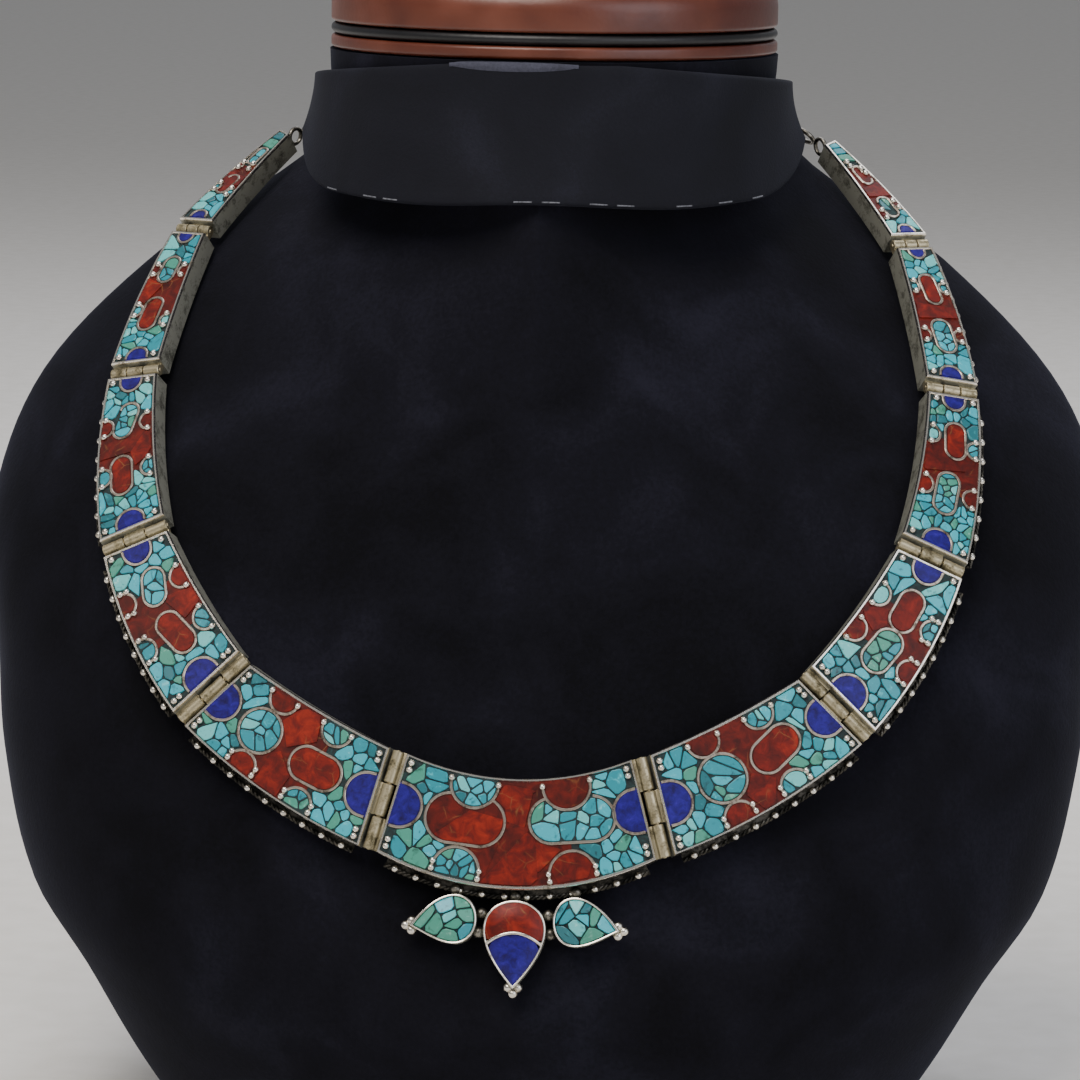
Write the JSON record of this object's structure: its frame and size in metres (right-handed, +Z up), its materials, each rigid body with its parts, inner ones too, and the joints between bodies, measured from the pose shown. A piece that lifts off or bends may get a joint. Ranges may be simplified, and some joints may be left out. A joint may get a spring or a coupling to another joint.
{
  "type": "bib necklace on its neck bust stand",
  "caption": "Hinged collar necklace of silver boxes filled with turquoise, coral and lapis chips, with a small drop trio, on a black velvet neck bust with a leather cap",
  "frame": {"origin": "middle of the stand's flat base, on the surface that it stands on", "axes": "+X to the wearer's left, seen as the right of the front view; -Y towards the viewer; +Z up"},
  "size_m": [0.2276, 0.1466, 0.2302],
  "materials": {
    "aged_silver": "hand-worked silver, dark in its recesses",
    "silver_pin": "drawn silver wire",
    "chip_inlay": "polished stone chips in dark grout",
    "coral": "polished coral chips",
    "lapis": "polished lapis chips",
    "turquoise": "polished turquoise chips",
    "black_velvet": "short-pile velvet",
    "black_cloth": "fine flock cloth",
    "brown_leather": "smooth copper-brown leather",
    "black_piping": "smooth piping"
  },
  "bodies": {
    "root": {"back_chain_left": "aged_silver", "back_chain_right": "aged_silver", "cap_lower_rim": "brown_leather", "cap_piping": "black_piping", "coral_pear_top": "coral", "inlay_centre": "chip_inlay", "lapis_pear_tip": "lapis", "leather_cap": "brown_leather", "neck_flap": "black_cloth", "pin_left_1": "silver_pin", "pin_right_1": "silver_pin", "ring_clasp": "aged_silver", "tray_centre": "aged_silver", "turquoise_paisley_left": "turquoise", "turquoise_paisley_right": "turquoise", "velvet_bust": "black_velvet"},
    "right_2": {"inlay_right_2": "chip_inlay", "pin_right_2": "silver_pin", "tray_right_2": "aged_silver"},
    "right_3": {"inlay_right_3": "chip_inlay", "pin_right_3": "silver_pin", "tray_right_3": "aged_silver"},
    "right_4": {"inlay_right_4": "chip_inlay", "pin_right_4": "silver_pin", "tray_right_4": "aged_silver"},
    "right_5": {"inlay_right_5": "chip_inlay", "pin_right_5": "silver_pin", "tray_right_5": "aged_silver"},
    "right_6": {"inlay_right_6": "chip_inlay", "tray_right_6": "aged_silver"},
    "left_2": {"inlay_left_2": "chip_inlay", "pin_left_2": "silver_pin", "tray_left_2": "aged_silver"},
    "left_3": {"inlay_left_3": "chip_inlay", "pin_left_3": "silver_pin", "tray_left_3": "aged_silver"},
    "left_4": {"inlay_left_4": "chip_inlay", "pin_left_4": "silver_pin", "tray_left_4": "aged_silver"},
    "left_5": {"inlay_left_5": "chip_inlay", "pin_left_5": "silver_pin", "tray_left_5": "aged_silver"},
    "left_6": {"inlay_left_6": "chip_inlay", "tray_left_6": "aged_silver"}
  },
  "joints": [
    {"name": "hinge_right_1", "type": "hinge", "parent": "root", "child": "right_2", "pos_m": [0.02525, -0.06356, 0.07759], "axis": [0.2672, -0.2656, -0.9263], "range_deg": [0, 30]},
    {"name": "hinge_right_2", "type": "hinge", "parent": "right_2", "child": "right_3", "pos_m": [0.05889, -0.05218, 0.09551], "axis": [0.7193, -0.1128, -0.6855], "range_deg": [0, 30]},
    {"name": "hinge_right_3", "type": "hinge", "parent": "right_3", "child": "right_4", "pos_m": [0.07659, -0.03356, 0.12111], "axis": [0.9055, 0.0831, -0.4161], "range_deg": [0, 30]},
    {"name": "hinge_right_4", "type": "hinge", "parent": "right_4", "child": "right_5", "pos_m": [0.0804, -0.00768, 0.15004], "axis": [0.9377, 0.3022, -0.1713], "range_deg": [0, 30]},
    {"name": "hinge_right_5", "type": "hinge", "parent": "right_5", "child": "right_6", "pos_m": [0.0723, 0.01731, 0.17616], "axis": [0.8845, 0.4666, 0.0006], "range_deg": [0, 30]},
    {"name": "hinge_left_1", "type": "hinge", "parent": "root", "child": "left_2", "pos_m": [-0.02525, -0.06356, 0.07759], "axis": [0.2672, 0.2656, 0.9263], "range_deg": [0, 30]},
    {"name": "hinge_left_2", "type": "hinge", "parent": "left_2", "child": "left_3", "pos_m": [-0.05889, -0.05218, 0.09551], "axis": [0.7193, 0.1128, 0.6855], "range_deg": [0, 30]},
    {"name": "hinge_left_3", "type": "hinge", "parent": "left_3", "child": "left_4", "pos_m": [-0.07659, -0.03356, 0.12111], "axis": [0.9055, -0.0831, 0.4161], "range_deg": [0, 30]},
    {"name": "hinge_left_4", "type": "hinge", "parent": "left_4", "child": "left_5", "pos_m": [-0.0804, -0.00768, 0.15004], "axis": [0.9377, -0.3022, 0.1713], "range_deg": [0, 30]},
    {"name": "hinge_left_5", "type": "hinge", "parent": "left_5", "child": "left_6", "pos_m": [-0.0723, 0.01731, 0.17616], "axis": [0.8845, -0.4666, -0.0006], "range_deg": [0, 30]}
  ]
}
